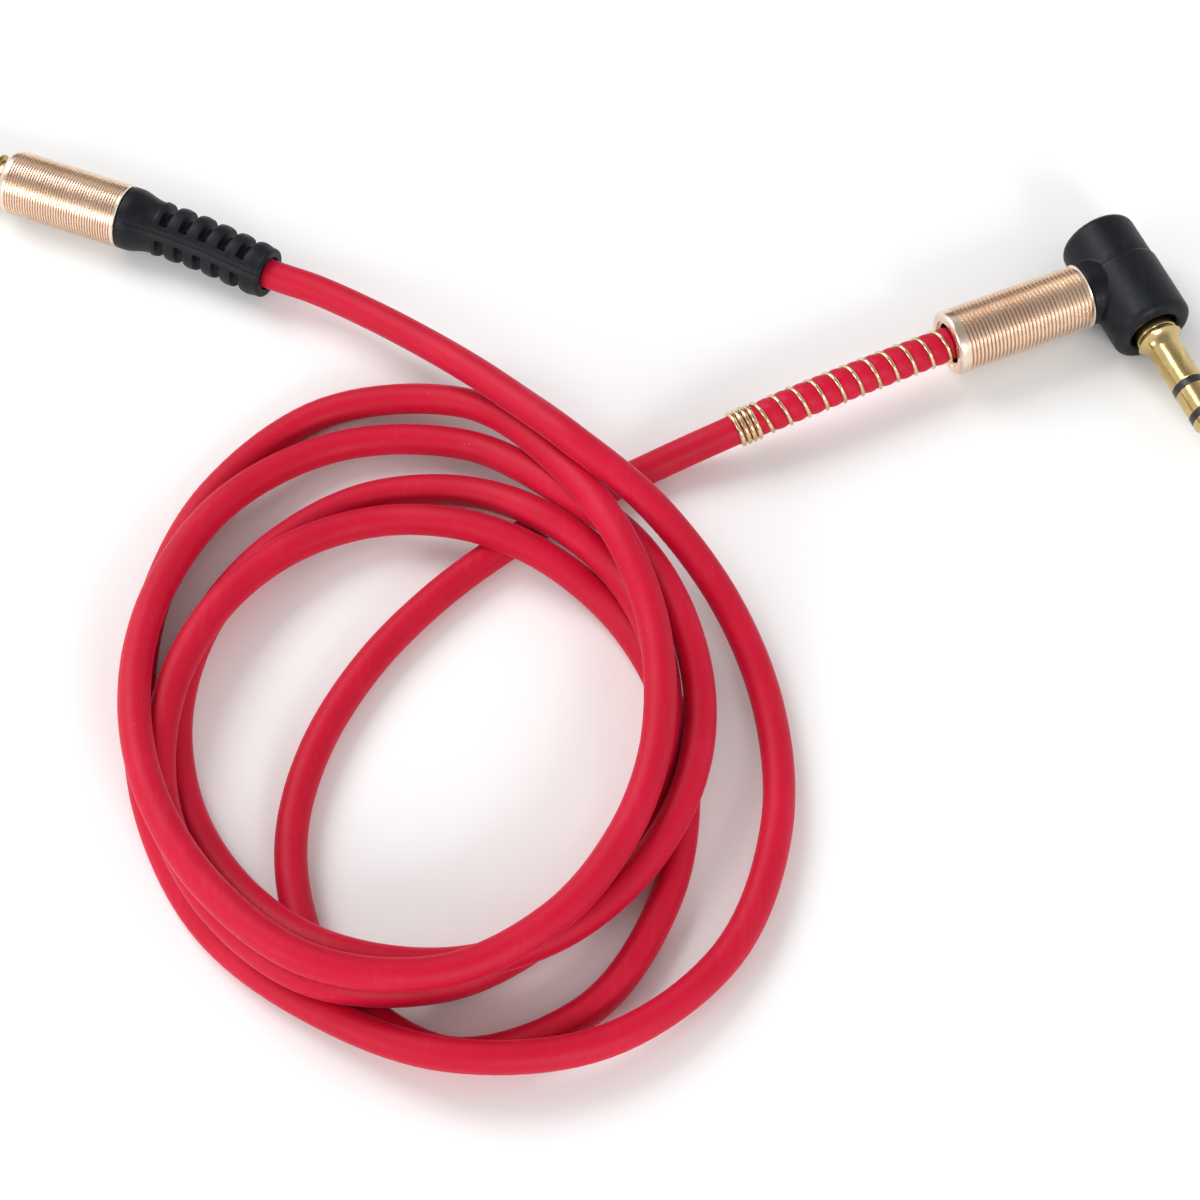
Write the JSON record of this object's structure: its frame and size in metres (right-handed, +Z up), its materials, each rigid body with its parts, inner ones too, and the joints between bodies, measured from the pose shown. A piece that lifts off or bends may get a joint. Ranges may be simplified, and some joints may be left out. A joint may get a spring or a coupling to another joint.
{
  "type": "stereo audio cable",
  "caption": "Loosely coiled round cord with a straight 3.5 mm stereo plug on one end and a right-angle 3.5 mm stereo plug with a spring strain relief on the other.",
  "frame": {"origin": "on the surface that the lead lies on, below the middle of the box round the two plugs", "axes": "+X from the straight plug towards the right-angle plug, +Y away from the coil, +Z up from the surface"},
  "size_m": [0.1392, 0.1057, 0.0122],
  "materials": {
    "cord_jacket": "matte red silicone-like jacket with a faint pink sheen",
    "rose_gold_shell": "finely ribbed rose gold anodised metal",
    "gold_contact": "polished gold plate",
    "spring_wire": "pale gold plated steel wire",
    "black_rubber": "satin black moulded elastomer",
    "insulator_ring": "black plastic",
    "moulded_block": "natural moulded plastic",
    "left_core": "red insulated core",
    "right_core": "green insulated core",
    "drain_copper": "bare twisted copper"
  },
  "bodies": {
    "root": {"straight_shell": "rose_gold_shell", "straight_tip_contact": "gold_contact", "straight_tip_insulator": "insulator_ring", "straight_ring_contact": "gold_contact", "straight_ring_insulator": "insulator_ring", "straight_ground_sleeve": "gold_contact", "straight_contact_block": "moulded_block", "straight_left_wire": "left_core", "straight_right_wire": "right_core", "straight_drain_wire": "drain_copper", "angled_shell": "rose_gold_shell", "angled_tip_contact": "gold_contact", "angled_tip_insulator": "insulator_ring", "angled_ring_contact": "gold_contact", "angled_ring_insulator": "insulator_ring", "angled_ground_sleeve": "gold_contact", "angled_contact_block": "moulded_block", "angled_left_wire": "left_core", "angled_right_wire": "right_core", "angled_drain_wire": "drain_copper", "straight_boot": "black_rubber", "angled_elbow": "black_rubber", "strain_spring": "spring_wire", "cord_lead_in": "cord_jacket", "cord_coil": "cord_jacket", "cord_lower_loop": "cord_jacket", "cord_cross_strand": "cord_jacket", "cord_lead_out": "cord_jacket"}
  },
  "joints": []
}
